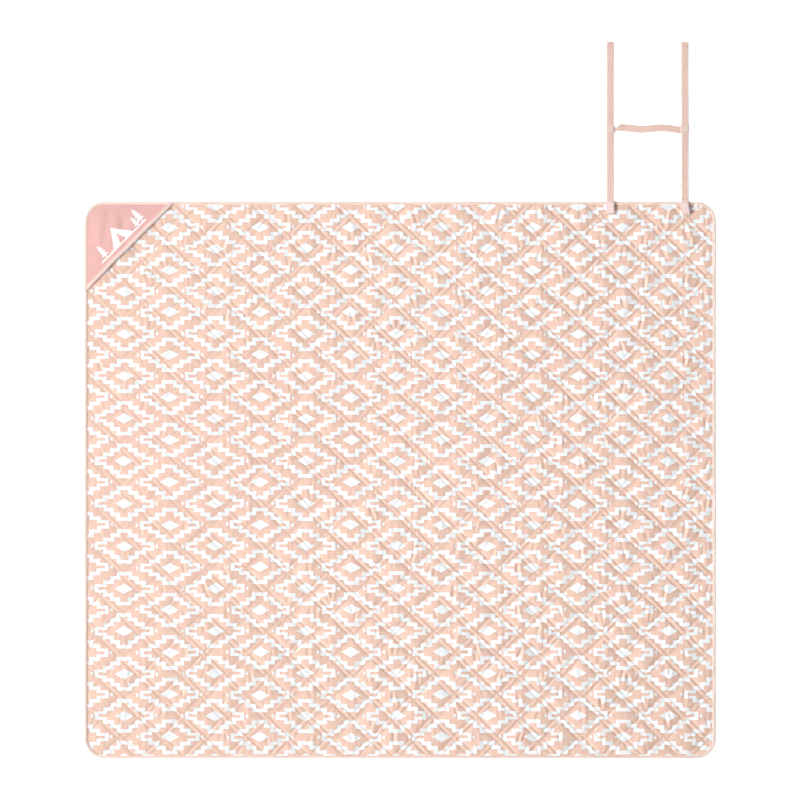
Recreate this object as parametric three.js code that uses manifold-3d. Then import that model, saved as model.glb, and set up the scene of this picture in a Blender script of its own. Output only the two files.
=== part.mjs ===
// A quilted camp blanket lying open on the ground, with a corner pocket and a two-strap carry handle.
// Millimetres, +Z up. The origin is the centre of the blanket's underside. The strapped edge faces +Y.
// The blanket folds in half about a line beside the Y axis, so each of its layers is two solids.

import * as THREE from "three";
import { mergeVertices } from "three/addons/utils/BufferGeometryUtils.js";
import Module from "manifold-3d";

const wasm = await Module();
wasm.setup();

// --- Driving dimensions ---

const BLANKET_WIDTH = 1700;
const BLANKET_DEPTH = 1500;
const CORNER_RADIUS = 55;
const CORNER_STEPS = 10;
const GAP = 0.3; // between solids that touch on the real object
const CUT_MARGIN = 10; // how far a cutting solid runs past what it cuts
const FOLD_X = -3; // the fold line: the left half lands a little short of the right edge

const LAYER = { backing: 0.8, wadding: 4, face: 0.8, tape: 0.8, pocket: 0.6 };
const TAPE_WIDTH = 8; // binding tape seen on each side of the blanket
const JOGGLE = 1; // width of the step by which a cloth drops into the binding
const POCKET_JOGGLE = 0.8; // width of the same step in the pocket panel

const POCKET_LEG = 245; // from the blanket's corner along each edge to the pocket's mouth
const MOUTH_TAPE_WIDTH = 10;
const MOUTH_TAPE = 0.6;
const EMBLEM = { length: 168, thickness: 0.3, fromMouth: 20 };

const STRAP_X = { inner: 566, outer: 767 };
const WEB_WIDTH = 20;
const WEB = 1.2; // webbing thickness
const STRAP_END_Y = 1181;
const STRAP_HEM = 12;
const SEWN_LENGTH = 32;
const SEWN_TURN = 1; // thickness of the sewn end where it turns down over the edge
const STRAP_CLEARANCE = 1; // between that turn and the free strap, which swings beside it
const HOOK_TAB = { width: 21, length: 33, thickness: 0.8, fromEdge: 1 };
const LOOP_PATCH = { length: 40, thickness: 0.9, fromEnd: 56 };

const HANDLE_Y = 944; // where the handle crosses the straps
const KEEPER = { length: 22, wall: 0.8, clearance: 0.4 };

// --- Levels that follow from the stack of layers ---

const EDGE_Y = BLANKET_DEPTH / 2;
const BACKING_TOP = LAYER.backing;
const WADDING_BOTTOM = BACKING_TOP + GAP;
const WADDING_TOP = WADDING_BOTTOM + LAYER.wadding;
const FACE_BOTTOM = WADDING_TOP + GAP;
const FACE_TOP = FACE_BOTTOM + LAYER.face;

// Inside the binding the wadding is trimmed off and the cloths lie on each other.
const RIM_BACKING = LAYER.tape + GAP;
const RIM_FACE = RIM_BACKING + LAYER.backing + GAP;
const RIM_POCKET = RIM_FACE + LAYER.face + GAP;
const RIM_TAPE = RIM_POCKET + LAYER.pocket + GAP;
const EDGE_TOP = RIM_TAPE + LAYER.tape;

const RIM_START = LAYER.tape + GAP; // inset of the cloths' cut edge inside the tape's fold
const POCKET_INSET = TAPE_WIDTH + GAP;
const POCKET_JOGGLE_END = POCKET_INSET + POCKET_JOGGLE;
const CLOTH_INSET = POCKET_JOGGLE_END + GAP;
const WADDING_INSET = CLOTH_INSET + JOGGLE + GAP;

const MOUTH_BOTTOM = FACE_TOP + GAP;
const POCKET_BOTTOM = MOUTH_BOTTOM + MOUTH_TAPE + GAP;
const POCKET_TOP = POCKET_BOTTOM + LAYER.pocket;
const MOUTH_TOP = POCKET_TOP + GAP + MOUTH_TAPE;

const SEWN_BOTTOM = FACE_TOP + GAP;
const SEWN_TOP = SEWN_BOTTOM + WEB;
const TURN_START_Y = EDGE_Y + GAP;
const TURN_END_Y = TURN_START_Y + SEWN_TURN;
const STRAP_START_Y = TURN_END_Y + STRAP_CLEARANCE;
const STRAP_BOTTOM = KEEPER.wall + KEEPER.clearance;
const STRAP_TOP = STRAP_BOTTOM + WEB;
const KEEPER_TOP = STRAP_TOP + KEEPER.clearance + KEEPER.wall;

// --- Materials ---

const material = (color, roughness) => new THREE.MeshStandardMaterial({ color, roughness, metalness: 0 });
const MATERIALS = {
  printedFabric: material(0xf3cdb9, 0.85),
  wadding: material(0xf6f4ef, 0.95),
  backing: material(0xd9c1b4, 0.55),
  bindingTape: material(0xf3c9b8, 0.8),
  pocketFabric: material(0xefb7b3, 0.85),
  ink: material(0xfdfbf9, 0.6),
  webbing: material(0xe8c5bb, 0.8),
  hookTape: material(0xf8cfcb, 0.9),
};

// --- Solids from three.js geometry ---

function solidOf(geometry) {
  geometry.deleteAttribute("normal");
  geometry.deleteAttribute("uv");
  const merged = mergeVertices(geometry, 1e-4);
  return new wasm.Manifold(
    new wasm.Mesh({
      numProp: 3,
      vertProperties: merged.attributes.position.array,
      triVerts: new Uint32Array(merged.index.array),
    }),
  );
}

function geometryOf(solid) {
  const made = solid.getMesh();
  const geometry = new THREE.BufferGeometry();
  geometry.setAttribute("position", new THREE.BufferAttribute(made.vertProperties, 3));
  geometry.setIndex(new THREE.BufferAttribute(made.triVerts, 1));
  return geometry;
}

function polygon(points) {
  const shape = new THREE.Shape();
  points.forEach(([x, y], i) => (i ? shape.lineTo(x, y) : shape.moveTo(x, y)));
  return shape;
}

// A flat plate of any outline between two heights.
function plate(shape, bottom, top) {
  const options = { depth: top - bottom, bevelEnabled: false, curveSegments: CORNER_STEPS };
  return solidOf(new THREE.ExtrudeGeometry(shape, options).translate(0, 0, bottom));
}

function block(x, y, z) {
  const box = new THREE.BoxGeometry(x[1] - x[0], y[1] - y[0], z[1] - z[0]);
  return solidOf(box.translate((x[0] + x[1]) / 2, (y[0] + y[1]) / 2, (z[0] + z[1]) / 2));
}

const around = (centre, width) => [centre - width / 2, centre + width / 2];

// The blanket's outline, moved in from its edge by inset.
function outline(inset) {
  const x = BLANKET_WIDTH / 2 - inset;
  const y = BLANKET_DEPTH / 2 - inset;
  const r = CORNER_RADIUS - inset;
  const shape = new THREE.Shape();
  shape.moveTo(x, r - y);
  shape.absarc(x - r, y - r, r, 0, Math.PI / 2);
  shape.absarc(r - x, y - r, r, Math.PI / 2, Math.PI);
  shape.absarc(r - x, r - y, r, Math.PI, 1.5 * Math.PI);
  shape.absarc(x - r, r - y, r, 1.5 * Math.PI, 2 * Math.PI);
  return shape;
}

const sheet = (inset, bottom, top) => plate(outline(inset), bottom, top);

// A band that follows the blanket's edge between two insets.
function band(outer, inner, bottom, top) {
  return sheet(outer, bottom, top).subtract(sheet(inner, bottom - CUT_MARGIN, top + CUT_MARGIN));
}

// --- The quilt's layers, whole ---

function backingSheet() {
  return sheet(CLOTH_INSET, 0, BACKING_TOP)
    .add(band(CLOTH_INSET, CLOTH_INSET + JOGGLE, 0, RIM_BACKING + LAYER.backing))
    .add(band(RIM_START, CLOTH_INSET + JOGGLE, RIM_BACKING, RIM_BACKING + LAYER.backing));
}

function faceFabric() {
  return sheet(CLOTH_INSET, FACE_BOTTOM, FACE_TOP)
    .add(band(CLOTH_INSET, CLOTH_INSET + JOGGLE, RIM_FACE, FACE_TOP))
    .add(band(RIM_START, CLOTH_INSET + JOGGLE, RIM_FACE, RIM_FACE + LAYER.face));
}

// A tape folded round the edge: two legs and the fold between them.
function edgeBinding() {
  return band(0, LAYER.tape, 0, EDGE_TOP)
    .add(band(0, TAPE_WIDTH, 0, LAYER.tape))
    .add(band(0, TAPE_WIDTH, RIM_TAPE, EDGE_TOP));
}

const QUILT_LAYERS = [
  ["backing", backingSheet(), MATERIALS.backing],
  ["wadding", sheet(WADDING_INSET, WADDING_BOTTOM, WADDING_TOP), MATERIALS.wadding],
  ["face_fabric", faceFabric(), MATERIALS.printedFabric],
  ["edge_binding", edgeBinding(), MATERIALS.bindingTape],
];

// The half of a layer on one side of the fold line.
function halfOf(layer, side) {
  const far = BLANKET_WIDTH;
  const x = side === "left" ? [-far, FOLD_X - GAP / 2] : [FOLD_X + GAP / 2, far];
  return layer.intersect(block(x, [-BLANKET_DEPTH, BLANKET_DEPTH], [-CUT_MARGIN, FACE_TOP + CUT_MARGIN]));
}

// --- The corner pocket, top left ---

// Everything on the corner's side of a line parallel to the pocket's mouth and beyond it by offset.
function cornerSide(offset) {
  const reach = POCKET_LEG + offset * Math.SQRT2;
  const left = -BLANKET_WIDTH / 2 - CUT_MARGIN;
  const top = EDGE_Y + CUT_MARGIN;
  const side = reach + 2 * CUT_MARGIN;
  return polygon([[left, top], [left, top - side], [left + side, top]]);
}

// A strip along the pocket's mouth, between two distances from the panel's edge.
function mouthStrip(from, to, bottom, top) {
  return plate(cornerSide(to), bottom, top)
    .subtract(plate(cornerSide(from), bottom - CUT_MARGIN, top + CUT_MARGIN))
    .intersect(sheet(CLOTH_INSET, bottom, top));
}

function pocketPanel() {
  return sheet(POCKET_INSET, POCKET_BOTTOM, POCKET_TOP)
    .add(band(POCKET_INSET, POCKET_JOGGLE_END, RIM_POCKET, POCKET_TOP))
    .add(band(RIM_START, POCKET_JOGGLE_END, RIM_POCKET, RIM_POCKET + LAYER.pocket))
    .intersect(plate(cornerSide(0), 0, POCKET_TOP + CUT_MARGIN));
}

function mouthBinding() {
  const fold = GAP + MOUTH_TAPE;
  return mouthStrip(GAP, fold, MOUTH_BOTTOM, MOUTH_TOP)
    .add(mouthStrip(-MOUTH_TAPE_WIDTH, fold, MOUTH_BOTTOM, MOUTH_BOTTOM + MOUTH_TAPE))
    .add(mouthStrip(-MOUTH_TAPE_WIDTH, fold, MOUTH_TOP - MOUTH_TAPE, MOUTH_TOP));
}

// The emblem is a plain printed picture, a tent between fir trees on a ground line. It is drawn upright in
// its own units, with the ground line's underside at y = 0, and its group scales it to EMBLEM.length.
const PICTURE = {
  ground: { length: 120, height: 3 },
  tent: { half: 27, height: 38 },
  door: { half: 8, height: 22 },
  trunk: { half: 1.2, height: 10 },
  tierHeight: 11,
  tiers: [{ foot: 7, half: 8 }, { foot: 14, half: 6.5 }, { foot: 21, half: 5 }],
  trees: [{ x: -44, size: 1 }, { x: 41, size: 0.8 }, { x: 53, size: 1.1 }],
  footing: 1, // how far up in the ground line the tent and the trunks start
};

const triangle = (x, half, foot, top) => polygon([[x - half, foot], [x + half, foot], [x, top]]);

const upright = (x, half, foot, top) =>
  polygon([[x - half, foot], [x + half, foot], [x + half, top], [x - half, top]]);

function treeShapes({ x, size }) {
  const { trunk, tiers, tierHeight, footing } = PICTURE;
  return [
    upright(x, trunk.half, footing, trunk.height * size),
    ...tiers.map(({ foot, half }) => triangle(x, half * size, foot * size, (foot + tierHeight) * size)),
  ];
}

function emblem() {
  const { ground, tent, door, trees, footing } = PICTURE;
  const bottom = POCKET_TOP + GAP;
  const top = bottom + EMBLEM.thickness;
  const printed = (shape) => plate(shape, bottom, top);
  const doorway = triangle(0, door.half, ground.height, door.height);
  let picture = printed(upright(0, ground.length / 2, 0, ground.height))
    .add(printed(triangle(0, tent.half, footing, tent.height)))
    .subtract(plate(doorway, bottom - CUT_MARGIN, top + CUT_MARGIN));
  for (const shape of trees.flatMap(treeShapes)) {
    picture = picture.add(printed(shape));
  }
  return picture;
}

// --- The carry straps, sewn to the top edge ---

// The strap's end lies on the face and turns down over the bound edge.
function sewnEnd(x) {
  const width = around(x, WEB_WIDTH);
  return block(width, [EDGE_Y - SEWN_LENGTH, TURN_END_Y], [SEWN_BOTTOM, SEWN_TOP])
    .add(block(width, [TURN_START_Y, TURN_END_Y], [RIM_FACE, SEWN_TOP]));
}

function hookTab(x) {
  const end = EDGE_Y - HOOK_TAB.fromEdge;
  const bottom = SEWN_TOP + GAP;
  const heights = [bottom, bottom + HOOK_TAB.thickness];
  return block(around(x, HOOK_TAB.width), [end - HOOK_TAB.length, end], heights);
}

// The free strap, with its tip folded back once as a hem.
function strapWebbing(x) {
  const width = around(x, WEB_WIDTH);
  return block(width, [STRAP_START_Y, STRAP_END_Y], [STRAP_BOTTOM, STRAP_TOP])
    .add(block(width, [STRAP_END_Y - STRAP_HEM, STRAP_END_Y], [STRAP_BOTTOM, STRAP_TOP + WEB]));
}

function loopPatch(x) {
  const start = STRAP_END_Y - LOOP_PATCH.fromEnd;
  return block(around(x, WEB_WIDTH), [start, start + LOOP_PATCH.length], [0, LOOP_PATCH.thickness]);
}

// --- The handle, whose two keepers slide along the straps ---

function keeper(x) {
  const slot = WEB_WIDTH + 2 * KEEPER.clearance;
  const y = around(HANDLE_Y, KEEPER.length);
  const through = around(HANDLE_Y, KEEPER.length + 2 * CUT_MARGIN);
  return block(around(x, slot + 2 * KEEPER.wall), y, [0, KEEPER_TOP])
    .subtract(block(around(x, slot), through, [KEEPER.wall, KEEPER_TOP - KEEPER.wall]));
}

function handleWebbing() {
  const clear = WEB_WIDTH / 2 + KEEPER.clearance + KEEPER.wall + GAP;
  const x = [STRAP_X.inner + clear, STRAP_X.outer - clear];
  return block(x, around(HANDLE_Y, WEB_WIDTH), [STRAP_BOTTOM, STRAP_TOP]);
}

// --- The scene graph ---

const blanket = new THREE.Group();

function piece(name, solid, finish, parent = blanket) {
  const mesh = new THREE.Mesh(geometryOf(solid), finish);
  mesh.name = name;
  parent.add(mesh);
  return mesh;
}

for (const side of ["left", "right"]) {
  for (const [name, layer, finish] of QUILT_LAYERS) {
    piece(`${name}_${side}`, halfOf(layer, side), finish);
  }
}

piece("pocket_panel", pocketPanel(), MATERIALS.pocketFabric);
piece("pocket_mouth_binding", mouthBinding(), MATERIALS.bindingTape);

// The emblem's ground line runs along the pocket's mouth.
const mouthMiddle = [-BLANKET_WIDTH / 2 + POCKET_LEG / 2, EDGE_Y - POCKET_LEG / 2];
const emblemShift = EMBLEM.fromMouth / Math.SQRT2;
const emblemScale = EMBLEM.length / PICTURE.ground.length;
const emblemPlace = new THREE.Group();
emblemPlace.position.set(mouthMiddle[0] - emblemShift, mouthMiddle[1] + emblemShift, 0);
emblemPlace.rotation.z = Math.PI / 4;
emblemPlace.scale.set(emblemScale, emblemScale, 1);
blanket.add(emblemPlace);
piece("pocket_emblem", emblem(), MATERIALS.ink, emblemPlace);

for (const [side, x] of Object.entries(STRAP_X)) {
  piece(`strap_${side}_sewn_end`, sewnEnd(x), MATERIALS.webbing);
  piece(`hook_tab_${side}`, hookTab(x), MATERIALS.hookTape);
  piece(`strap_${side}_webbing`, strapWebbing(x), MATERIALS.webbing);
  piece(`loop_patch_${side}`, loopPatch(x), MATERIALS.hookTape);
  piece(`handle_keeper_${side}`, keeper(x), MATERIALS.webbing);
}
piece("handle_webbing", handleWebbing(), MATERIALS.webbing);

export default blanket;
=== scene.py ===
"""A quilted camp blanket lying open on the floor, with a corner pocket and a two-strap carry handle.

Metres, +Z up. The blanket's underside lies on z = 0 with its centre at the origin, and its straps lie
towards +Y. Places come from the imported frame; cloth keeps its cut position in a UV map, so that the print,
weave and stitching stay on the cloth when it bends.
"""

import math

import bmesh
import bpy
import numpy as np
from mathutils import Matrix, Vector


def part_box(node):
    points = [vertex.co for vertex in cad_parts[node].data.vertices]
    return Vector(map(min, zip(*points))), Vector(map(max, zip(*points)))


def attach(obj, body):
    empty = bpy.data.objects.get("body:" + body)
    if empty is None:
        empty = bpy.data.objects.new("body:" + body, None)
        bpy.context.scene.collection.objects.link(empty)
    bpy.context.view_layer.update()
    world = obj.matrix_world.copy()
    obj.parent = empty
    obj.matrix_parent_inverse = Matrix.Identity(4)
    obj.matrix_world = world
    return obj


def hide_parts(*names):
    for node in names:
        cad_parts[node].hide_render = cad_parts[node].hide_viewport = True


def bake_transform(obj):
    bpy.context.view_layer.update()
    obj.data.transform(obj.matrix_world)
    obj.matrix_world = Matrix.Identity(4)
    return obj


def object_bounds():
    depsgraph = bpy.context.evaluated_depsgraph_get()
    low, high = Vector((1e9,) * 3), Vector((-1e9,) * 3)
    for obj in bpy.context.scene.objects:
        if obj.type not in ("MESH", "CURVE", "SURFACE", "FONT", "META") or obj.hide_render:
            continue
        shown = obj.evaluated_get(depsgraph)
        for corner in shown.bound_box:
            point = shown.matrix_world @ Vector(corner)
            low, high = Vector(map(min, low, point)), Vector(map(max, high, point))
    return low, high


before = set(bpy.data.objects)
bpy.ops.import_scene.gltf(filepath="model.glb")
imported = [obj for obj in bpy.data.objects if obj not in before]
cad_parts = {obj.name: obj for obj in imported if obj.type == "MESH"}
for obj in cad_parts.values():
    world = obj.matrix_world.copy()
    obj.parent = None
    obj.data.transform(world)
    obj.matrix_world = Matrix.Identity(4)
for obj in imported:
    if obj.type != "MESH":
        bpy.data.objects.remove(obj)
cad_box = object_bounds()
rng = np.random.default_rng(7)

MM = 0.001

# --- Places from the frame ---

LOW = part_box("edge_binding_left")[0]
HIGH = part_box("edge_binding_right")[1]
HALF_X = (HIGH.x - LOW.x) / 2
HALF_Y = (HIGH.y - LOW.y) / 2
CORNER_RADIUS = 55 * MM
FOLD_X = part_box("face_fabric_left")[1].x
FLOOR_Z = LOW.z

# --- The quilt ---

QUILT_PERIOD = 112.5 * MM  # from one pair of stitch lines to the next, along X or Y
PAIR_SPACING = 18.75 * MM  # between the two lines of a pair, along X or Y
COARSE = QUILT_PERIOD / 18  # grid for the cloth simulation
FALLING_PHASE = 2.5 * COARSE  # middle of a pair that runs down to the right, as x + y
RISING_PHASE = 9.5 * COARSE  # middle of a pair that runs up to the right, as x - y
STITCH_Z = 2.9 * MM
GROOVE_DEPTH = 1.5 * MM  # below STITCH_Z, where a line of stitches pulls the cloth down
GROOVE_FALLOFF = 1.8 * MM
GROOVE_PAINTED_SHADE = 0.84  # painted shade: share of the cloth's colour left in the middle of a groove, where shade falls
RELIEF = 0.8  # share of the simulated puffs and the pleats that a laid-out quilt keeps
PUFF_LIMIT = 8.2 * MM
SOFT_LIMIT = 1.5 * MM  # below PUFF_LIMIT the tops start to round off
CLOTH_FRAMES = 20
STRIP_ENDS = (0, 0.375, 0.625, 1)  # of the face's three strips, as shares of its width
RIM_Z = 3.0 * MM  # where the cloths enter the binding
FOLD_LENGTH = 32 * MM  # of cloth taken up by the fold's bight
FOLD_LEAD = 8 * MM  # of that length lies on the right half

# --- The print ---

MOTIF_REPEAT = (244.2 * MM, 114.4 * MM)
MOTIF_CENTRE = (-9.7 * MM, 51.3 * MM)
MOTIF_DIAMOND = (25.2, 14.0)
MOTIF_OUTER_STEPS = ((20.7, 46.3), (38.0, 34.0), (57.2, 21.9), (79.6, 11.1))
MOTIF_INNER_STEPS = ((10.3, 36.5), (28.1, 24.4), (47.8, 12.5), (69.7, 3.8))
MOTIF_ARROW = (81.8, 90.2, 6.7)  # tip, base and half width of the small triangle beyond the steps

# --- Colours, linear ---

PEACH = (0.862, 0.595, 0.482)
WHITE = (0.945, 0.96, 0.98)
BACKING = (0.62, 0.43, 0.36)
BINDING = (0.94, 0.745, 0.66)
PINK = (0.795, 0.465, 0.43)
WEBBING = (0.938, 0.673, 0.59)
KEEPER = (0.955, 0.735, 0.665)
MOUTH_TAPE = (0.86, 0.66, 0.61)
TAB = (0.96, 0.75, 0.71)
INK = (0.95, 0.95, 0.94)

# --- Lamps: powers in watts, spread in degrees ---

KEY_POWER = 21.7
KEY_SPREAD = 18
FILL_POWER = 33.9
WORLD_STRENGTH = 0.34


# --- Small helpers: noise and smooth steps ---

def smoothstep(low, high, value):
    t = np.clip((value - low) / (high - low), 0, 1)
    return t * t * (3 - 2 * t)


def field_noise(x, y, cell):
    """Smooth random values in -1..1 over the plane, changing over a distance of about cell."""
    u = x / cell
    v = y / cell
    u = u - np.floor(u.min())
    v = v - np.floor(v.min())
    lattice = rng.uniform(-1, 1, (int(u.max()) + 2, int(v.max()) + 2))
    i = u.astype(int)
    j = v.astype(int)
    s = smoothstep(0, 1, u - i)
    t = smoothstep(0, 1, v - j)
    near = lattice[i, j] * (1 - s) + lattice[i + 1, j] * s
    far = lattice[i, j + 1] * (1 - s) + lattice[i + 1, j + 1] * s
    return near * (1 - t) + far * t


def line_noise(s, cell):
    """Smooth random values in -1..1 along a length s."""
    return field_noise(np.asarray(s, float), np.zeros(len(s)), cell)


# --- Meshes ---

def mesh_object(name, vertices, faces, uv, material):
    """A smooth-shaded object whose UV map holds each vertex's place on the flat cloth, in metres."""
    mesh = bpy.data.meshes.new(name)
    mesh.from_pydata(vertices.tolist(), [], faces)
    layer = mesh.uv_layers.new(name="cut")
    corner = np.empty(len(mesh.loops), np.int32)
    mesh.loops.foreach_get("vertex_index", corner)
    layer.data.foreach_set("uv", uv[corner].astype(np.float32).ravel())
    mesh.shade_smooth()
    mesh.materials.append(material)
    made = bpy.data.objects.new(name, mesh)
    bpy.context.scene.collection.objects.link(made)
    return made


def grid_faces(rows, columns, wrap=False, keep=None):
    """Quads of a grid of points, rows by columns; wrap joins the last column to the first."""
    i, j = np.meshgrid(np.arange(rows - 1), np.arange(columns if wrap else columns - 1), indexing="ij")
    k = (j + 1) % columns
    quads = np.stack([i * columns + j, (i + 1) * columns + j, (i + 1) * columns + k, i * columns + k], -1)
    if keep is not None:
        quads = quads[keep]
    return quads.reshape(-1, 4).tolist()


def cloth_piece(name, x, y, z, uv_x, uv_y, material, keep=None, flip=False):
    """A piece of cloth from grids of x, y, z; faces where keep is false are left out with their points."""
    rows, columns = x.shape
    points = np.stack([x, y, z], -1).reshape(-1, 3)
    uv = np.stack([uv_x, uv_y], -1).reshape(-1, 2)
    faces = np.array(grid_faces(rows, columns, keep=keep))
    if flip:
        faces = faces[:, ::-1]
    used, renumbered = np.unique(faces, return_inverse=True)
    return mesh_object(name, points[used], renumbered.reshape(faces.shape).tolist(), uv[used], material)


def rounded_section(width, thickness, across=9):
    """The outline of a tape's cross-section as (across, up) points, going round once."""
    half = width / 2 - thickness / 2
    top = [(a, thickness / 2) for a in np.linspace(half, -half, across)]
    turn = [math.radians(t) for t in (120, 150, 180, 210, 240)]
    left = [(-half + math.cos(t) * thickness / 2, math.sin(t) * thickness / 2) for t in turn]
    bottom = [(a, -thickness / 2) for a in np.linspace(-half, half, across)]
    right = [(-a, -b) for a, b in left]
    return np.array(top + left + bottom + right)


def ribbon(name, path, side, width, thickness, material, closed=False, narrow=None):
    """A tape swept along path. side is the direction across the tape at each point of the path.

    narrow is the share of the width that is left at each point, where the tape is gathered.
    """
    section = rounded_section(width, thickness)
    ahead = np.roll(path, -1, 0) - np.roll(path, 1, 0)
    if not closed:
        ahead[0] = path[1] - path[0]
        ahead[-1] = path[-1] - path[-2]
    side = side / np.linalg.norm(side, axis=1, keepdims=True)
    up = np.cross(side, ahead)
    up /= np.linalg.norm(up, axis=1, keepdims=True)
    along = np.concatenate([[0], np.cumsum(np.linalg.norm(np.diff(path, axis=0), axis=1))])
    if closed:
        path, side, up = (np.concatenate([a, a[:1]]) for a in (path, side, up))
        along = np.append(along, along[-1] + np.linalg.norm(path[-1] - path[-2]))
    kept = np.ones(len(path)) if narrow is None else narrow
    offset = side[:, None] * section[None, :, :1] * kept[:, None, None] + up[:, None] * section[None, :, 1:]
    points = path[:, None] + offset
    uv = np.stack(np.broadcast_arrays(along[:, None], section[None, :, 0]), -1)
    rows, columns = points.shape[:2]
    faces = grid_faces(rows, columns, wrap=True)
    if not closed:
        last = (rows - 1) * columns
        faces.append(list(range(columns))[::-1])
        faces.append([last + k for k in range(columns)])
    return mesh_object(name, points.reshape(-1, 3), faces, uv.reshape(-1, 2), material)


# --- Materials ---

class Fabric:
    """A cloth material being built: a Principled shader, and short ways to add nodes to it."""

    def __init__(self, name, roughness, sheen=0.2):
        self.material = bpy.data.materials.new(name)
        self.material.use_nodes = True
        self.tree = self.material.node_tree
        self.shader = self.tree.nodes["Principled BSDF"]
        self.shader.inputs["Roughness"].default_value = roughness
        self.shader.inputs["Sheen Weight"].default_value = sheen
        self.shader.inputs["Sheen Roughness"].default_value = 0.5
        self.shader.inputs["Specular IOR Level"].default_value = 0.25
        place = self.tree.nodes.new("ShaderNodeUVMap")
        place.uv_map = "cut"
        self.place = place.outputs[0]
        split = self.tree.nodes.new("ShaderNodeSeparateXYZ")
        self.tree.links.new(self.place, split.inputs[0])
        self.x, self.y = split.outputs[0], split.outputs[1]

    def put(self, value, socket):
        if isinstance(value, bpy.types.NodeSocket):
            self.tree.links.new(value, socket)
        elif isinstance(value, tuple):
            socket.default_value = (*value, 1.0) if len(value) == 3 else value
        else:
            socket.default_value = value

    def math(self, operation, *values):
        node = self.tree.nodes.new("ShaderNodeMath")
        node.operation = operation
        for value, socket in zip(values, node.inputs):
            self.put(value, socket)
        return node.outputs[0]

    def add(self, *values):
        total = values[0]
        for value in values[1:]:
            total = self.math("ADD", total, value)
        return total

    def band(self, value, low, high):
        """0 below low, 1 above high and smooth between; low may be above high."""
        node = self.tree.nodes.new("ShaderNodeMapRange")
        node.interpolation_type = "SMOOTHSTEP"
        for socket, given in zip(node.inputs, (value, low, high, 0.0, 1.0)):
            self.put(given, socket)
        return node.outputs[0]

    def noise(self, scale, stretch=(1.0, 1.0), detail=3.0):
        """Noise over the cloth, changing over about 1 / scale metres, drawn out by stretch."""
        mapping = self.tree.nodes.new("ShaderNodeMapping")
        mapping.inputs["Scale"].default_value = (scale / stretch[0], scale / stretch[1], 1)
        self.tree.links.new(self.place, mapping.inputs[0])
        node = self.tree.nodes.new("ShaderNodeTexNoise")
        node.inputs["Scale"].default_value = 1.0
        node.inputs["Detail"].default_value = detail
        self.tree.links.new(mapping.outputs[0], node.inputs["Vector"])
        return node.outputs[0]

    def ridges(self, value, period):
        """A wave between 0 and 1 that repeats every period of value."""
        turns = self.math("MULTIPLY", value, 2 * math.pi / period)
        return self.math("MULTIPLY_ADD", self.math("SINE", turns), 0.5, 0.5)

    def weave(self, period):
        """Height of a plain weave: warp and weft take turns on top."""
        warp = self.ridges(self.x, period)
        weft = self.ridges(self.y, period)
        checks = self.math("GREATER_THAN", self.math("MULTIPLY", self.math("SUBTRACT", warp, 0.5),
                                                     self.math("SUBTRACT", weft, 0.5)), 0.0)
        return self.mix_value(checks, warp, weft)

    def mix_value(self, share, a, b):
        node = self.tree.nodes.new("ShaderNodeMix")
        for value, socket in zip((share, a, b), (node.inputs[0], node.inputs[2], node.inputs[3])):
            self.put(value, socket)
        return node.outputs[0]

    def mix(self, share, a, b, blend="MIX"):
        node = self.tree.nodes.new("ShaderNodeMix")
        node.data_type = "RGBA"
        node.blend_type = blend
        for value, socket in zip((share, a, b), (node.inputs[0], node.inputs[6], node.inputs[7])):
            self.put(value, socket)
        return node.outputs[2]

    def shade(self, color, share, darkest):
        """color, darkened towards darkest times itself where share is 1."""
        return self.mix(share, color, (darkest, darkest, darkest), "MULTIPLY")

    def dashes(self, along, across, length=3.2 * MM, gap=1.0 * MM, width=0.5 * MM):
        """A line of stitches where across is near 0: 1 on the thread."""
        phase = self.math("MODULO", self.math("ADD", along, 10.0), length + gap)
        on = self.band(phase, length, length - 0.4 * MM)
        near = self.band(self.math("ABSOLUTE", across), width, width * 0.4)
        return self.math("MULTIPLY", on, near)

    def stitched_box(self, middle, half_along, half_across, width=0.7 * MM):
        """A rectangle of stitches, its middle at x = middle: 1 on the thread."""
        from_middle = self.math("ABSOLUTE", self.math("SUBTRACT", self.x, middle))
        past_along = self.math("SUBTRACT", from_middle, half_along)
        past_across = self.math("SUBTRACT", self.math("ABSOLUTE", self.y), half_across)
        from_line = self.math("ABSOLUTE", self.math("MAXIMUM", past_along, past_across))
        return self.band(from_line, width, width * 0.4)

    def finish(self, color, *reliefs):
        """Gives the shader its colour and its bumps, each a height and its depth in metres."""
        self.put(color, self.shader.inputs["Base Color"])
        normal = None
        for height, depth in reliefs:
            bump = self.tree.nodes.new("ShaderNodeBump")
            bump.inputs["Distance"].default_value = depth
            self.put(height, bump.inputs["Height"])
            if normal:
                self.tree.links.new(normal, bump.inputs["Normal"])
            normal = bump.outputs[0]
        self.tree.links.new(normal, self.shader.inputs["Normal"])
        return self.material


def motif_mask(fabric, a, b):
    """1 where a stepped motif centred at (0, 0) prints white, for a and b in its first quarter."""
    def steps(sizes):
        inside = 0.0
        for width, height in sizes:
            in_width = fabric.math("LESS_THAN", a, width * MM)
            in_height = fabric.math("LESS_THAN", b, height * MM)
            inside = fabric.math("MAXIMUM", inside, fabric.math("MULTIPLY", in_width, in_height))
        return inside

    ring = fabric.math("SUBTRACT", steps(MOTIF_OUTER_STEPS), steps(MOTIF_INNER_STEPS))
    slanted = fabric.math("ADD", fabric.math("DIVIDE", a, MOTIF_DIAMOND[0] * MM),
                          fabric.math("DIVIDE", b, MOTIF_DIAMOND[1] * MM))
    diamond = fabric.math("LESS_THAN", slanted, 1.0)
    tip, base, half = (size * MM for size in MOTIF_ARROW)
    slope = fabric.math("MULTIPLY", fabric.math("SUBTRACT", a, tip), half / (base - tip))
    arrow = fabric.math("MULTIPLY", fabric.math("LESS_THAN", b, slope), fabric.math("LESS_THAN", a, base))
    return fabric.math("MAXIMUM", fabric.math("MAXIMUM", ring, diamond), arrow)


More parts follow.
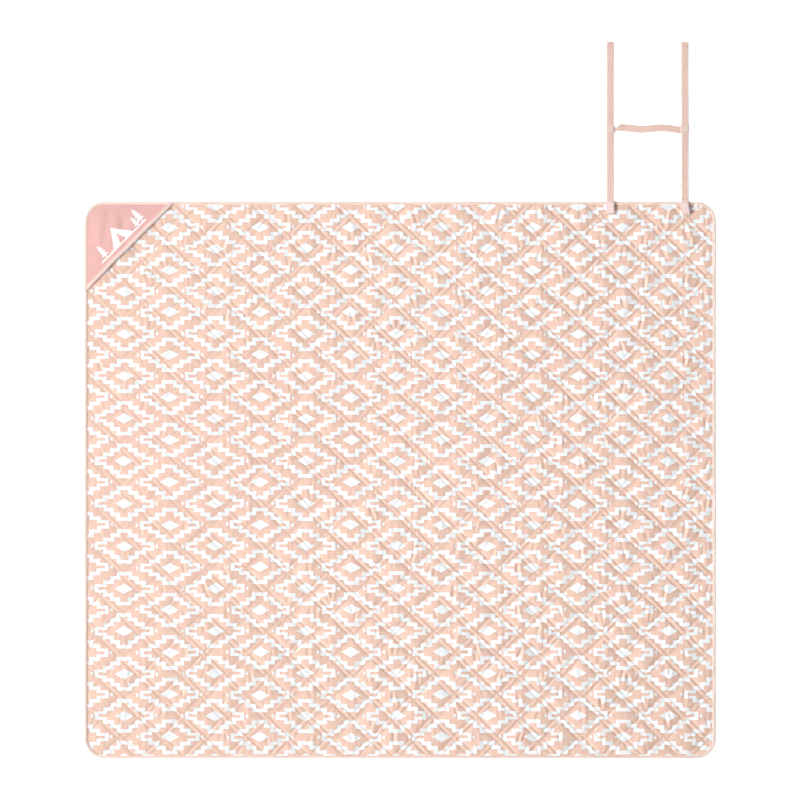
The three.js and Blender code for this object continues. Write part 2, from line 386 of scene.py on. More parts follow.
def quilting_stitches(fabric, groove_width):
    """The paired quilting lines: 1 on the thread, and how deep the cloth is drawn in beside them, 0..1."""
    threads = 0.0
    drawn_in = 0.0
    for sign, phase in ((1, FALLING_PHASE), (-1, RISING_PHASE)):
        across = fabric.math("MULTIPLY_ADD", fabric.y, float(sign), fabric.x)
        along = fabric.math("MULTIPLY_ADD", fabric.y, float(-sign), fabric.x)
        from_middle = fabric.math("SUBTRACT", across, phase)
        wrapped = fabric.math("WRAP", from_middle, QUILT_PERIOD / 2, -QUILT_PERIOD / 2)
        offset = fabric.math("SUBTRACT", fabric.math("ABSOLUTE", wrapped), PAIR_SPACING / 2)
        offset = fabric.math("MULTIPLY", offset, math.sqrt(0.5))
        line = fabric.dashes(fabric.math("MULTIPLY", along, math.sqrt(0.5)), offset)
        threads = fabric.math("MAXIMUM", threads, line)
        away = fabric.math("MULTIPLY", fabric.math("ABSOLUTE", offset), -1 / groove_width)
        drawn_in = fabric.math("MAXIMUM", drawn_in, fabric.math("EXPONENT", away))
    return threads, drawn_in


def printed_fabric():
    fabric = Fabric("printed_fabric", 0.85)
    repeat_x, repeat_y = MOTIF_REPEAT
    pulled = [fabric.math("MULTIPLY_ADD", fabric.noise(scale), 3 * MM, place - 1.5 * MM)
              for scale, place in ((26.0, -MOTIF_CENTRE[0]), (31.0, -MOTIF_CENTRE[1]))]
    a = fabric.math("PINGPONG", fabric.math("ADD", fabric.x, pulled[0]), repeat_x / 2)
    b = fabric.math("PINGPONG", fabric.math("ADD", fabric.y, pulled[1]), repeat_y / 2)
    half_drop = (fabric.math("SUBTRACT", repeat_x / 2, a), fabric.math("SUBTRACT", repeat_y / 2, b))
    white = fabric.math("MAXIMUM", motif_mask(fabric, a, b), motif_mask(fabric, *half_drop))
    slubs = fabric.noise(420.0, stretch=(1.0, 9.0))
    ground = fabric.shade(PEACH, fabric.band(slubs, 0.5, 0.85), 0.93)
    ground = fabric.shade(ground, fabric.band(fabric.noise(6.0), 0.5, 0.8), 0.97)
    print_ink = fabric.shade(WHITE, fabric.band(slubs, 0.5, 0.9), 0.97)
    color = fabric.mix(white, ground, print_ink)
    stitches, drawn_in = quilting_stitches(fabric, 1.5 * MM)
    # Painted shade: the cloth's colour is darkened along the stitch grooves, where shade falls.
    color = fabric.shade(color, fabric.band(drawn_in, 0.3, 1.0), GROOVE_PAINTED_SHADE)
    color = fabric.shade(color, stitches, 0.94)
    gathers = fabric.noise(110.0, stretch=(1.0, 3.5), detail=2.0)
    weave = fabric.add(fabric.weave(1.1 * MM), fabric.math("MULTIPLY", slubs, 1.5), stitches)
    groove = fabric.math("SUBTRACT", 0.0, drawn_in)
    return fabric.finish(color, (groove, 0.35 * MM), (gathers, 0.8 * MM), (weave, 0.12 * MM))


def backing_fabric():
    fabric = Fabric("backing_fabric", 0.5, sheen=0.0)
    mottle = fabric.noise(9.0)
    color = fabric.shade(BACKING, fabric.band(mottle, 0.45, 0.75), 0.93)
    stitches, drawn_in = quilting_stitches(fabric, 2.0 * MM)
    color = fabric.mix(stitches, color, BINDING)
    weave = fabric.add(fabric.weave(0.9 * MM), fabric.math("MULTIPLY", stitches, 2.0))
    return fabric.finish(color, (fabric.math("SUBTRACT", 0.0, drawn_in), 0.9 * MM), (weave, 0.1 * MM))


def tape_fabric(name, color, rib, seam_at):
    """Grosgrain tape: fine ribs across it, and a row of stitches at seam_at across from its middle."""
    fabric = Fabric(name, 0.75)
    ribs = fabric.ridges(fabric.x, rib)
    stitches = fabric.dashes(fabric.x, fabric.math("SUBTRACT", fabric.y, seam_at), 2.6 * MM, 0.9 * MM)
    blotches = fabric.noise(40.0, stretch=(3.0, 1.0))
    toned = fabric.shade(color, fabric.band(blotches, 0.45, 0.8), 0.93)
    # Painted shade: the tape is a little darker between its ribs, where the bump is low.
    toned = fabric.shade(toned, fabric.math("SUBTRACT", 1.0, ribs), 0.96)
    toned = fabric.shade(toned, stitches, 0.86)
    return fabric.finish(toned, (fabric.add(ribs, fabric.math("MULTIPLY", stitches, -2.0)), 0.12 * MM))


def pocket_fabric():
    fabric = Fabric("pocket_fabric", 0.8)
    slubs = fabric.noise(500.0, stretch=(1.0, 6.0))
    color = fabric.shade(PINK, fabric.band(slubs, 0.45, 0.85), 0.94)
    color = fabric.shade(color, fabric.band(fabric.noise(14.0), 0.5, 0.8), 0.95)
    return fabric.finish(color, (fabric.add(fabric.weave(1.0 * MM), slubs), 0.1 * MM))


def webbing(name, tone, box=None):
    """Flat webbing: a twill of slanting threads between lengthwise cords, and a box of stitches on some."""
    fabric = Fabric(name, 0.75)
    folded = fabric.math("PINGPONG", fabric.math("ADD", fabric.y, 1.0), 2.5 * MM)
    twill = fabric.ridges(fabric.math("ADD", fabric.x, folded), 1.3 * MM)
    cords = fabric.ridges(fabric.y, 5.0 * MM)
    # Painted shade: the webbing is darker in the furrows between its cords and between the twill's threads,
    # where the bump is low.
    furrow_shade = fabric.band(cords, 0.35, 0.0)
    color = fabric.shade(tone, furrow_shade, 0.9)
    color = fabric.shade(color, fabric.math("SUBTRACT", 1.0, twill), 0.95)
    color = fabric.shade(color, fabric.band(fabric.noise(30.0, stretch=(4.0, 1.0)), 0.45, 0.8), 0.96)
    height = fabric.add(twill, fabric.math("MULTIPLY", cords, 1.5))
    if box:
        color = fabric.shade(color, fabric.stitched_box(*box), 0.78)
    return fabric.finish(color, (height, 0.18 * MM))


def tab_fabric(name, box):
    """Hook and loop tape: a nap of tiny loops, with a box of stitches near its edge."""
    fabric = Fabric(name, 0.9, sheen=0.4)
    nap = fabric.noise(1500.0, detail=2.0)
    color = fabric.shade(TAB, fabric.band(nap, 0.4, 0.7), 0.94)
    stitches = fabric.stitched_box(*box)
    color = fabric.shade(color, stitches, 0.86)
    return fabric.finish(color, (fabric.math("SUBTRACT", nap, stitches), 0.3 * MM))


def ink():
    fabric = Fabric("ink", 0.55, sheen=0.0)
    color = fabric.shade(INK, fabric.band(fabric.noise(300.0), 0.5, 0.8), 0.97)
    return fabric.finish(color, (fabric.weave(1.0 * MM), 0.04 * MM))


MATERIALS = {
    "face": printed_fabric(),
    "backing": backing_fabric(),
    "binding": tape_fabric("binding_tape", BINDING, 1.1 * MM, 5.6 * MM),
    "mouth": tape_fabric("pocket_tape", MOUTH_TAPE, 1.1 * MM, -2.8 * MM),
    "pocket": pocket_fabric(),
    "webbing": webbing("webbing", WEBBING),
    "keeper": webbing("keeper_webbing", KEEPER, box=(12.8 * MM, 7.5 * MM, 8 * MM)),
    "tab": tab_fabric("hook_tape", box=(16.5 * MM, 13.5 * MM, 8 * MM)),
    "patch": tab_fabric("loop_tape", box=(20 * MM, 17 * MM, 7.5 * MM)),
    "ink": ink(),
}


# --- The quilt's relief ---

def edge_distance(x, y):
    """How far inside the blanket's rounded outline a point is; below 0 outside it."""
    past_x = np.abs(x) - (HALF_X - CORNER_RADIUS)
    past_y = np.abs(y) - (HALF_Y - CORNER_RADIUS)
    outside = np.hypot(np.maximum(past_x, 0), np.maximum(past_y, 0))
    return CORNER_RADIUS - outside - np.minimum(np.maximum(past_x, past_y), 0)


def line_distance(x, y, sign, phase):
    """Distance to the nearest stitch line of one family, and to the middle of its pair."""
    middle = np.abs((x + sign * y - phase + QUILT_PERIOD / 2) % QUILT_PERIOD - QUILT_PERIOD / 2)
    return np.abs(middle - PAIR_SPACING / 2) * math.sqrt(0.5), middle * math.sqrt(0.5)


def stitched_cloth(x, y):
    """Cloth cut a little too wide, sewn down along the stitch lines and pushed up by the wadding."""
    start = 0.3 * MM * rng.standard_normal(x.shape)
    points = np.stack([x, y, start], -1)
    rows, columns = x.shape
    mesh = bpy.data.meshes.new("stitched_cloth")
    mesh.from_pydata(points.reshape(-1, 3).tolist(), [], grid_faces(rows, columns))
    cloth_object = bpy.data.objects.new("stitched_cloth", mesh)
    bpy.context.scene.collection.objects.link(cloth_object)

    falling = line_distance(x, y, 1, FALLING_PHASE)[0]
    rising = line_distance(x, y, -1, RISING_PHASE)[0]
    sewn = (np.minimum(falling, rising) < COARSE * 0.2) | (edge_distance(x, y) < 9 * MM)
    pins = cloth_object.vertex_groups.new(name="sewn")
    pins.add(np.flatnonzero(sewn).tolist(), 1.0, "REPLACE")

    cloth_object.shape_key_add(name="Basis")
    cut = cloth_object.shape_key_add(name="cut")
    fuller = 1.035 + 0.02 * field_noise(x, y, QUILT_PERIOD)
    spare = points * np.array([1.0, 1.0, 0.0])
    spare[..., 0] = np.cumsum(np.diff(x[:, :1], axis=0, prepend=x[:1, :1] - COARSE) * fuller, axis=0)
    spare[..., 1] *= 1.02
    cut.data.foreach_set("co", spare.astype(np.float32).ravel())

    cloth = cloth_object.modifiers.new("Cloth", "CLOTH")
    cloth.settings.quality = 3
    cloth.settings.mass = 0.15
    cloth.settings.tension_stiffness = 12
    cloth.settings.compression_stiffness = 12
    cloth.settings.shear_stiffness = 4
    cloth.settings.bending_stiffness = 0.4
    cloth.settings.air_damping = 4
    cloth.settings.vertex_group_mass = "sewn"
    cloth.settings.rest_shape_key = cut
    cloth.collision_settings.use_collision = False
    cloth.point_cache.frame_start = 1
    cloth.point_cache.frame_end = CLOTH_FRAMES

    scene = bpy.context.scene
    gravity = tuple(scene.gravity)
    scene.gravity = (0, 0, 12)
    for step in range(1, CLOTH_FRAMES + 1):
        scene.frame_set(step)
    evaluated = cloth_object.evaluated_get(bpy.context.evaluated_depsgraph_get())
    moved = np.empty(x.size * 3, np.float32)
    evaluated.data.vertices.foreach_get("co", moved)
    scene.gravity = gravity
    scene.frame_set(1)
    bpy.data.objects.remove(cloth_object, do_unlink=True)
    bpy.data.meshes.remove(mesh)
    return moved.reshape(rows, columns, 3) - np.stack([x, y, np.zeros_like(x)], -1)


def doubled(values):
    """A grid of values at half the spacing, by four-point interpolation along each axis."""
    for axis in (0, 1):
        values = np.moveaxis(values, axis, 0)
        padded = np.concatenate([values[:1], values, values[-1:]])
        between = (9 * (padded[1:-2] + padded[2:-1]) - padded[:-3] - padded[3:]) / 16
        finer = np.empty((2 * len(values) - 1, *values.shape[1:]))
        finer[::2] = values
        finer[1::2] = between
        values = np.moveaxis(finer, 0, axis)
    return values


def creases(x, y):
    """Short upright pleats near the middle of each diamond, where the spare cloth gathers."""
    u = (x + y - FALLING_PHASE) / QUILT_PERIOD
    v = (x - y - RISING_PHASE) / QUILT_PERIOD
    i = np.floor(u).astype(int)
    j = np.floor(v).astype(int)
    i -= i.min()
    j -= j.min()
    centre_u = (u - np.floor(u) - 0.5) * QUILT_PERIOD
    centre_v = (v - np.floor(v) - 0.5) * QUILT_PERIOD
    dx = (centre_u + centre_v) / 2
    dy = (centre_u - centre_v) / 2
    shape = (i.max() + 1, j.max() + 1)
    relief = np.zeros_like(x)
    for spread, depth_range in ((3.0, (0.4, 3.2)), (14.0, (0.0, 2.7)), (22.0, (0.0, 2.0))):
        offset = rng.uniform(-spread, spread, shape)[i, j] * MM
        middle = rng.uniform(-18, 18, shape)[i, j] * MM
        reach = rng.uniform(9, 26, shape)[i, j] * MM
        lean = rng.uniform(-0.4, 0.4, shape)[i, j]
        depth = rng.uniform(*depth_range, shape)[i, j] * MM
        width = rng.uniform(2.6, 4.2, shape)[i, j] * MM
        across = dx - offset - lean * (dy - middle)
        along = np.clip(1 - ((dy - middle) / reach) ** 2, 0, 1)
        relief += depth * along * (0.55 * np.exp(-((across - 1.9 * width) / (1.3 * width)) ** 2)
                                   - np.exp(-(across / width) ** 2))
    return relief


def quilt():
    """Grids of the finished face: flat place x, y and lying place X, Y, Z."""
    across = np.arange(-round(HALF_X / COARSE), round(HALF_X / COARSE) + 1) * COARSE
    along = np.arange(-round(HALF_Y / COARSE), round(HALF_Y / COARSE) + 1) * COARSE
    x, y = np.meshgrid(across, along, indexing="ij")
    puff = stitched_cloth(x, y)
    x, y = doubled(x), doubled(y)
    puff = np.stack([doubled(puff[..., k]) for k in range(3)], -1)

    falling, falling_middle = line_distance(x, y, 1, FALLING_PHASE)
    rising, rising_middle = line_distance(x, y, -1, RISING_PHASE)
    groove = np.exp(-np.minimum(falling, rising) / GROOVE_FALLOFF)
    lift = np.clip(puff[..., 2], 0, None)
    in_diamond = smoothstep(0, 14 * MM, np.minimum(falling, rising))
    in_diamond *= (falling_middle > PAIR_SPACING / 2 * math.sqrt(0.5))
    in_diamond *= (rising_middle > PAIR_SPACING / 2 * math.sqrt(0.5))
    height = STITCH_Z + RELIEF * lift - GROOVE_DEPTH * groove + RELIEF * creases(x, y) * in_diamond
    height += 0.3 * MM * field_noise(x, y, 9 * MM) * in_diamond

    ceiling = PUFF_LIMIT - SOFT_LIMIT
    rounded = ceiling + SOFT_LIMIT * np.tanh((height - ceiling) / SOFT_LIMIT)
    height = np.where(height > ceiling, rounded, height)
    inside = edge_distance(x, y)
    height = RIM_Z + (height - RIM_Z) * smoothstep(6 * MM, 20 * MM, inside)
    under_pocket = smoothstep(-8 * MM, 4 * MM, pocket_depth(x, y))
    height = height - under_pocket * np.maximum(height - pocket_height(x, y) + 1 * MM, 0)
    for side in ("inner", "outer"):
        low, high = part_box(f"strap_{side}_sewn_end")
        past = np.maximum(np.abs(x - (low.x + high.x) / 2) - (high.x - low.x) / 2, low.y - y)
        under_strap = smoothstep(8 * MM, 1 * MM, past)
        height = height - under_strap * np.maximum(height - sewn_height(y) + 1.2 * MM, 0)
    settled = smoothstep(8 * MM, 60 * MM, inside)
    drift_x = 2.0 * MM * field_noise(x, y, 120 * MM) + 0.7 * MM * field_noise(x, y, 45 * MM)
    drift_y = 2.0 * MM * field_noise(x, y, 120 * MM) + 0.7 * MM * field_noise(x, y, 45 * MM)
    lie_x = x + puff[..., 0] + settled * drift_x
    lie_y = y + puff[..., 1] + settled * drift_y
    return x, y, lie_x, lie_y, np.maximum(height, 1.2 * MM)


# --- The corner pocket ---

POCKET_LEG = 245 * MM
POCKET_DEPTH = POCKET_LEG * math.sqrt(0.5)
MOUTH_MIDDLE = np.array([-HALF_X + POCKET_LEG / 2, HALF_Y - POCKET_LEG / 2])
ALONG_MOUTH = np.array([1, 1]) * math.sqrt(0.5)
INTO_POCKET = np.array([-1, 1]) * math.sqrt(0.5)
POCKET_WRINKLES = (  # place along the mouth in millimetres, turn in radians, width in millimetres, depth
    (-70, 0.5, 9, 1.0),
    (-25, 2.2, 12, 0.7),
    (40, -0.6, 10, 0.9),
    (75, 1.9, 8, 0.7),
)


def pocket_depth(x, y):
    """Distance of a point from the pocket's mouth, towards the corner."""
    return (x - MOUTH_MIDDLE[0]) * INTO_POCKET[0] + (y - MOUTH_MIDDLE[1]) * INTO_POCKET[1]


def pocket_height(x, y):
    """The pocket panel lies on the quilt, with soft wrinkles that run in from its sewn sides."""
    into = pocket_depth(x, y)
    along = (x - MOUTH_MIDDLE[0]) * ALONG_MOUTH[0] + (y - MOUTH_MIDDLE[1]) * ALONG_MOUTH[1]
    z = 7.9 * MM + 0 * x
    for shift, turn, width, depth in POCKET_WRINKLES:
        across = (along - shift * MM) * math.cos(turn) + (into - 70 * MM) * math.sin(turn)
        z = z - 1.7 * depth * MM * np.exp(-(across / (width * MM)) ** 2)
    z = z + 0.8 * MM * np.sin(along / (21 * MM) + 1.3) * np.sin(into / (17 * MM))
    inside = edge_distance(x, y)
    return 3.9 * MM + (z - 3.9 * MM) * smoothstep(5 * MM, 58 * MM, inside)


def sewn_height(y):
    """Height of a strap's middle thickness over the face, lower towards the bound edge."""
    return 5.9 * MM + 0.9 * MM * smoothstep(HALF_Y - 6 * MM, HALF_Y - 30 * MM, y)


FACE = quilt()


def build_pocket():
    inset = 4 * MM
    radius = CORNER_RADIUS - inset
    arc_centre = POCKET_DEPTH - CORNER_RADIUS * math.sqrt(2)
    tip = arc_centre + radius
    into = np.linspace(0, tip, 100)[:, None]
    straight = POCKET_DEPTH - inset * math.sqrt(2) - into
    arc = np.sqrt(np.clip(radius ** 2 - (into - arc_centre) ** 2, 0, None))
    half = np.where(into > arc_centre + radius * math.sqrt(0.5), arc, straight)
    along = half * np.linspace(-1, 1, 201)[None, :]
    into = into + 0 * along
    x = MOUTH_MIDDLE[0] + along * ALONG_MOUTH[0] + into * INTO_POCKET[0]
    y = MOUTH_MIDDLE[1] + along * ALONG_MOUTH[1] + into * INTO_POCKET[1]
    z = pocket_height(x, y)
    panel = cloth_piece("pocket_cloth", x, y, z, along, into, MATERIALS["pocket"], flip=True)
    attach(panel, "left_half")
    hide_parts("pocket_panel")


def build_mouth_tape():
    reach = POCKET_DEPTH - 7 * MM
    s = np.linspace(-reach, reach, 160)
    wave = 0.9 * MM * line_noise(s, 45 * MM)
    into = 4.6 * MM + 0.8 * MM * line_noise(s, 60 * MM)
    x = MOUTH_MIDDLE[0] + s * ALONG_MOUTH[0] + into * INTO_POCKET[0]
    y = MOUTH_MIDDLE[1] + s * ALONG_MOUTH[1] + into * INTO_POCKET[1]
    inside = edge_distance(x, y)
    z = 4.4 * MM + (8.1 * MM + wave - 4.4 * MM) * smoothstep(4 * MM, 26 * MM, inside)
    side = np.tile([*INTO_POCKET, 0.0], (len(s), 1))
    tape = ribbon("pocket_mouth_tape", np.stack([x, y, z], -1), side, 10.2 * MM, 2.0 * MM, MATERIALS["mouth"])
    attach(tape, "left_half")
    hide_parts("pocket_mouth_binding")


def build_emblem():
    """The printed picture, laid onto the pocket's wrinkles."""
    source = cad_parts["pocket_emblem"]
    made = bmesh.new()
    made.from_mesh(source.data)
    made.transform(source.matrix_world)
    bmesh.ops.delete(made, geom=[f for f in made.faces if f.normal.z < 0.5], context="FACES")
    for _ in range(4):
        long_edges = [e for e in made.edges if e.calc_length() > 5 * MM]
        bmesh.ops.subdivide_edges(made, edges=long_edges, cuts=1)
        bmesh.ops.triangulate(made, faces=made.faces[:])
    layer = made.loops.layers.uv.new("cut")
    for vertex in made.verts:
        place = np.array([vertex.co.x, vertex.co.y])
        vertex.co.z = float(pocket_height(*place)) + 0.25 * MM
        for loop in vertex.link_loops:
            loop[layer].uv = place
    mesh = bpy.data.meshes.new("pocket_picture")
    made.to_mesh(mesh)
    made.free()
    mesh.shade_smooth()
    mesh.materials.append(MATERIALS["ink"])
    picture = bpy.data.objects.new("pocket_picture", mesh)
    bpy.context.scene.collection.objects.link(picture)
    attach(picture, "left_half")
    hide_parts("pocket_emblem")


# --- The quilt's pieces ---

def blend_at_fold(piece):
    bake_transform(piece)


def build_face():
    """The face in three strips: the left and right ones go with the blanket's two halves, and the middle one
    is attached to neither.
    """
    x, y, lie_x, lie_y, lie_z = FACE
    middle_x = (x[1:, 1:] + x[:-1, :-1]) / 2
    middle_y = (y[1:, 1:] + y[:-1, :-1]) / 2
    wanted = edge_distance(middle_x, middle_y) > 4.5 * MM
    cuts = [round(share * (len(x) - 1)) for share in STRIP_ENDS]
    for name, body, first, last in zip(("left", "middle", "right"), ("left_half", None, "right_half"),
                                       cuts[:-1], cuts[1:]):
        part = slice(first, last + 1)
        strip = cloth_piece(f"quilt_face_{name}", lie_x[part], lie_y[part], lie_z[part], x[part], y[part],
                            MATERIALS["face"], keep=wanted[first:last])
        if body:
            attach(strip, body)
            side = body.split("_")[0]
            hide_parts(f"face_fabric_{side}", f"wadding_{side}")
        else:
            blend_at_fold(strip)


def build_backing():
    at_fold = np.arange(FOLD_X + FOLD_LEAD - FOLD_LENGTH - 4 * MM, FOLD_X + FOLD_LEAD + 4 * MM, 1 * MM)
    away = np.linspace(-HALF_X, HALF_X, 273)
    away = away[(away < at_fold[0] - 1 * MM) | (away > at_fold[-1] + 1 * MM)]
    columns = np.sort(np.concatenate([away, at_fold]))
    x, y = np.meshgrid(columns, np.linspace(-HALF_Y, HALF_Y, 241), indexing="ij")
    falling = line_distance(x, y, 1, FALLING_PHASE)[0]
    rising = line_distance(x, y, -1, RISING_PHASE)[0]
    z = 1.1 * MM * np.exp(-np.minimum(falling, rising) / (5 * MM)) + 0.15 * MM
    z = z + (0.9 * MM - z) * smoothstep(16 * MM, 6 * MM, edge_distance(x, y))
    middle_x = (x[1:, 1:] + x[:-1, :-1]) / 2
    middle_y = (y[1:, 1:] + y[:-1, :-1]) / 2
    wanted = edge_distance(middle_x, middle_y) > 4.5 * MM
    cloth = cloth_piece("quilt_backing", x, y, z, x, y, MATERIALS["backing"], keep=wanted, flip=True)
    blend_at_fold(cloth)
    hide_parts("backing_left", "backing_right")


def outline_points(spacing):
    """Points round the blanket's edge with their outward directions and lengths along the edge."""
    corners = ((1, 1, 0), (-1, 1, 90), (-1, -1, 180), (1, -1, 270))
    straights = (2 * (HALF_X - CORNER_RADIUS), 2 * (HALF_Y - CORNER_RADIUS))
    points, outward = [], []
    for k, (sign_x, sign_y, first) in enumerate(corners):
        centre = np.array([sign_x * (HALF_X - CORNER_RADIUS), sign_y * (HALF_Y - CORNER_RADIUS)])
        for turn in np.radians(np.linspace(first, first + 90, 30, endpoint=False)):
            direction = np.array([math.cos(turn), math.sin(turn)])
            points.append(centre + CORNER_RADIUS * direction)
            outward.append(direction)
        end = np.radians(first + 90)
        direction = np.array([math.cos(end), math.sin(end)])
        travel = np.array([-direction[1], direction[0]])
        length = straights[k % 2]
        for step in np.arange(0, length, spacing):
            points.append(centre + CORNER_RADIUS * direction + travel * step)
            outward.append(direction)
    points = np.array(points)
    along = np.concatenate([[0], np.cumsum(np.linalg.norm(np.diff(points, axis=0), axis=1))])
    return points, np.array(outward), along


def build_binding():
    """A tape folded over the edge: its section goes from the face, round the edge, to the underside."""
    points, outward, along = outline_points(3 * MM)
    top = 8 * MM + 0.5 * MM * line_noise(along, 70 * MM)
    wobble = 0.35 * MM * line_noise(along, 25 * MM)
    pucker = 0.18 * MM * line_noise(along, 7 * MM)
    section = (  # inset from the edge, height, in millimetres; the first points lie on the face
        (8.0, 3.6), (8.0, 4.1), (7.4, 4.5), (6.2, 4.55), (5.6, 4.3), (5.0, 4.6), (3.6, 5.0), (2.0, 4.9),
        (0.8, 4.3), (0.1, 3.2), (0.0, 2.3), (0.15, 1.4), (0.8, 0.5), (2.0, 0.05), (5.0, 0.0), (8.0, 0.0),
        (8.0, 0.5), (4.5, 0.7), (1.4, 1.1), (1.0, 2.4), (1.8, 3.9), (5.0, 3.7),
    )
    section = np.array(section) * MM
    inset = section[None, :, 0] * np.where(section[None, :, 1] > 3 * MM, (top / (8 * MM))[:, None], 1.0)
    inset = inset + wobble[:, None] * (section[None, :, 0] < 4 * MM)
    inset = np.maximum(inset, 0)
    height = section[None, :, 1] + pucker[:, None] * (section[None, :, 1] > 3 * MM)
    xy = points[:, None] - outward[:, None] * inset[..., None]
    grid = np.concatenate([xy, height[..., None]], -1)
    grid = np.concatenate([grid, grid[:1]])
    length = np.append(along, along[-1] + 3 * MM)
    uv = np.stack(np.broadcast_arrays(length[:, None], np.minimum(section[None, :, 0], 9 * MM)), -1)
    rows, columns = grid.shape[:2]
    faces = grid_faces(rows, columns, wrap=True)
    tape = mesh_object("edge_tape", grid.reshape(-1, 3), faces, uv.reshape(-1, 2), MATERIALS["binding"])
    blend_at_fold(tape)
    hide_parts("edge_binding_left", "edge_binding_right")


# --- Straps and handle ---

STRAP_WIDTH = 20 * MM
WEB = 1.2 * MM
KEEPER_WALL = 0.8 * MM
INTO_KEEPER = 0.6 * MM  # how far the handle's ends go into the keepers' walls


def strap_path(side):
    """From under the hook tab, over the bound edge and out along the floor."""
    sewn_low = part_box(f"strap_{side}_sewn_end")[0]
    web_low, web_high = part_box(f"strap_{side}_webbing")
    lying = web_low.z + WEB / 2
    over_edge = np.linspace(sewn_low.y, HALF_Y + 2 * MM, 18)
    beyond = np.linspace(HALF_Y + 4 * MM, web_high.y, 140)
    y = np.concatenate([over_edge, beyond])
    drop = smoothstep(HALF_Y - 1 * MM, HALF_Y + 12 * MM, y)
    z = sewn_height(y) + (lying - sewn_height(y)) * drop
    wander = 0.3 * MM * line_noise(y, 160 * MM)
    x = (web_low.x + web_high.x) / 2 + wander * smoothstep(HALF_Y, HALF_Y + 100 * MM, y)
    tilt = math.radians(0.4) * line_noise(y, 90 * MM) * drop
    path = np.stack([x, y, z], -1)
    across = np.stack([np.cos(tilt), 0 * tilt, np.sin(tilt)], -1)
    return path, -across


def build_straps():
    for side in ("inner", "outer"):
        path, across = strap_path(side)
        strap = ribbon(f"strap_{side}", path, across, STRAP_WIDTH, WEB, MATERIALS["webbing"])
        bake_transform(strap)
        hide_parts(f"strap_{side}_sewn_end", f"strap_{side}_webbing")
        build_hem(side)
        build_tab(side)
        build_patch(side)


def build_hem(side):
    """The strap's tip is folded back on itself and sewn."""
    low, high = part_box(f"strap_{side}_webbing")
    y = np.linspace(high.y - 12 * MM, high.y - 0.4 * MM, 8)
    z = low.z + WEB * 1.5 + 0 * y
    path = np.stack([(low.x + high.x) / 2 + 0 * y, y, z], -1)
    across = np.tile([-1.0, 0.0, 0.0], (len(y), 1))
    hem = ribbon(f"strap_{side}_hem", path, across, STRAP_WIDTH - 0.3 * MM, WEB, MATERIALS["webbing"])
    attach(hem, f"strap_{side}")


def build_patch(side):
    """Loop tape on the underside of the strap's tip."""
    low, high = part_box(f"loop_patch_{side}")
    y = np.linspace(low.y, high.y, 12)
    path = np.stack([(low.x + high.x) / 2 + 0 * y, y, (low.z + high.z) / 2 + 0 * y], -1)
    across = np.tile([-1.0, 0.0, 0.0], (len(y), 1))
    patch = ribbon(f"patch_{side}", path, across, high.x - low.x, high.z - low.z, MATERIALS["patch"])
    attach(patch, f"strap_{side}")
    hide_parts(f"loop_patch_{side}")


def build_tab(side):
    """A square of hook tape over the strap's sewn end, a little crooked as it was sewn."""
    low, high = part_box(f"hook_tab_{side}")
    middle = (low + high) / 2
    turn = math.radians({"inner": 1.5, "outer": 6.0}[side])
    y = np.linspace(-(high.y - low.y) / 2, (high.y - low.y) / 2, 14)
    forward = np.array([-math.sin(turn), math.cos(turn)])
    over_strap = sewn_height(middle.y + y * forward[1]) + 1.2 * MM
    path = np.stack([middle.x + y * forward[0], middle.y + y * forward[1], over_strap], -1)
    across = np.tile([-math.cos(turn), -math.sin(turn), 0.0], (len(y), 1))
    tab = ribbon(f"tab_{side}", path, across, high.x - low.x, 1.0 * MM, MATERIALS["tab"])
    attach(tab, "right_half")
    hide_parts(f"hook_tab_{side}")


def build_keepers():
    """A short loop of webbing round each strap, at each end of the handle."""
    for side in ("inner", "outer"):
        low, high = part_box(f"handle_keeper_{side}")
        middle = (low + high) / 2
        half_x = (high.x - low.x) / 2 - 0.4 * MM
        half_z = (high.z - low.z) / 2 - 0.4 * MM
        turn = np.linspace(0, 2 * math.pi, 72, endpoint=False)
        round_x = np.sign(np.cos(turn)) * np.abs(np.cos(turn)) ** 0.35 * half_x
        round_z = np.sign(np.sin(turn)) * np.abs(np.sin(turn)) ** 0.8 * half_z
        path = np.stack([middle.x + round_x, middle.y + 0 * turn, middle.z + round_z], -1)
        across = np.tile([0.0, 1.0, 0.0], (len(turn), 1))
        loop = ribbon(f"keeper_{side}", path, across, high.y - low.y, KEEPER_WALL, MATERIALS["keeper"],
                      closed=True)
        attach(loop, "handle")
        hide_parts(f"handle_keeper_{side}")


def build_handle():
    """The cross web lies in a slack wave, and is gathered beside its inner keeper.

    It stays nearly flat, since only a few millimetres are free over the face when the straps swing over.
    """
    low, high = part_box("handle_webbing")
    s = np.linspace(0, 1, 120)
    x = low.x - INTO_KEEPER + (high.x - low.x + 2 * INTO_KEEPER) * s
    length = high.x - low.x
    knots = (0, 0.1, 0.26, 0.41, 0.56, 0.71, 0.84, 0.96, 1)
    offsets = (-1, 6, 2.5, 0, 2.6, 4.6, 2.4, -1, -1)
    wave = np.interp(s, knots, offsets) * MM
    kernel = np.hanning(13) / np.hanning(13).sum()
    wave = np.convolve(np.pad(wave, 6, mode="edge"), kernel, "valid")
    twist = math.radians(4.5) * np.exp(-((s * length - 15 * MM) / (7 * MM)) ** 2)
    twist = twist - math.radians(4) * np.exp(-((s * length - 150 * MM) / (16 * MM)) ** 2)
    y = (low.y + high.y) / 2 + wave
    z = (low.z + high.z) / 2 + np.abs(np.sin(twist)) * STRAP_WIDTH / 2
    path = np.stack([x, y, z], -1)
    across = np.stack([0 * s, np.cos(twist), np.sin(twist)], -1)
    narrow = 1 - 0.42 * np.exp(-((s * length - 5 * MM) / (8 * MM)) ** 2)
    handle = ribbon("handle", path, across, STRAP_WIDTH, WEB, MATERIALS["webbing"], narrow=narrow)
    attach(handle, "handle")
    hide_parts("handle_webbing")


# --- Floor, light and camera ---

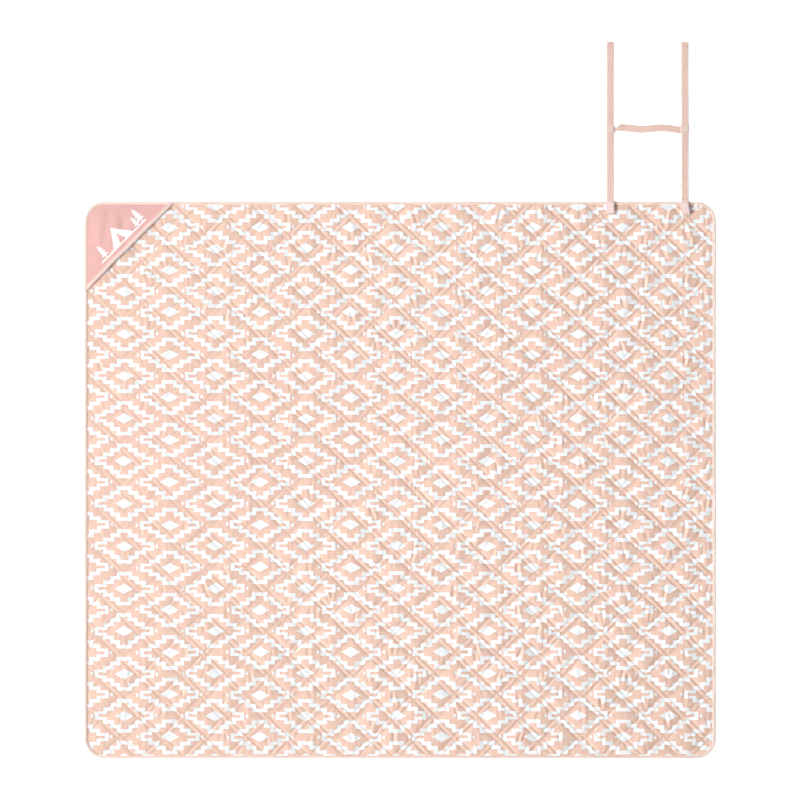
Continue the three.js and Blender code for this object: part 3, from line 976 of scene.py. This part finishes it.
def build_stage():
    bpy.ops.mesh.primitive_plane_add(size=60, location=(0, 0, FLOOR_Z - 0.5 * MM))
    floor = bpy.context.object
    floor.name = "floor"
    material = bpy.data.materials.new("floor")
    material.use_nodes = True
    shader = material.node_tree.nodes["Principled BSDF"]
    shader.inputs["Base Color"].default_value = (0.93, 0.93, 0.93, 1)
    shader.inputs["Roughness"].default_value = 1.0
    shader.inputs["Specular IOR Level"].default_value = 0.0
    shader.inputs["Emission Color"].default_value = (1, 1, 1, 1)
    shader.inputs["Emission Strength"].default_value = 0.7
    floor.data.materials.append(material)


def area_light(name, place, target, size, power, spread=180):
    """A rectangular lamp. spread is the full angle, in degrees, that its grid lets out."""
    data = bpy.data.lights.new(name, "AREA")
    data.shape = "RECTANGLE"
    data.size, data.size_y = size
    data.spread = math.radians(spread)
    data.energy = power
    light = bpy.data.objects.new(name, data)
    light.location = place
    light.rotation_euler = (Vector(target) - Vector(place)).to_track_quat("-Z", "Y").to_euler()
    bpy.context.scene.collection.objects.link(light)


def build_light():
    """Soft light all round, a low far lamp that rakes the blanket, and a near lamp that lifts its left."""
    world = bpy.data.worlds.new("studio")
    world.use_nodes = True
    world.node_tree.nodes["Background"].inputs[0].default_value = (1, 1, 1, 1)
    world.node_tree.nodes["Background"].inputs[1].default_value = WORLD_STRENGTH
    bpy.context.scene.world = world
    area_light("key", (-6.2, 0.2, 3.1), (1.0, 0.2, 0), (3.6, 0.9), KEY_POWER, spread=KEY_SPREAD)
    area_light("fill", (-1.9, 0.1, 1.3), (-0.9, 0.1, 0), (3.4, 0.7), FILL_POWER)
    scene = bpy.context.scene
    scene.view_settings.view_transform = "Standard"
    scene.view_settings.look = "None"


def build_camera():
    """Straight down over the middle of the blanket and its straps together."""
    footprint = 2.155
    data = bpy.data.cameras.new("camera")
    data.lens = 100
    data.sensor_width = 36
    camera = bpy.data.objects.new("camera", data)
    middle_y = (cad_box[0].y + cad_box[1].y) / 2
    camera.location = (0, middle_y, footprint * data.lens / data.sensor_width)
    bpy.context.scene.collection.objects.link(camera)
    bpy.context.scene.camera = camera


build_stage()
build_light()
build_camera()
build_face()
build_backing()
build_binding()
build_pocket()
build_mouth_tape()
build_emblem()
build_straps()
build_keepers()
build_handle()
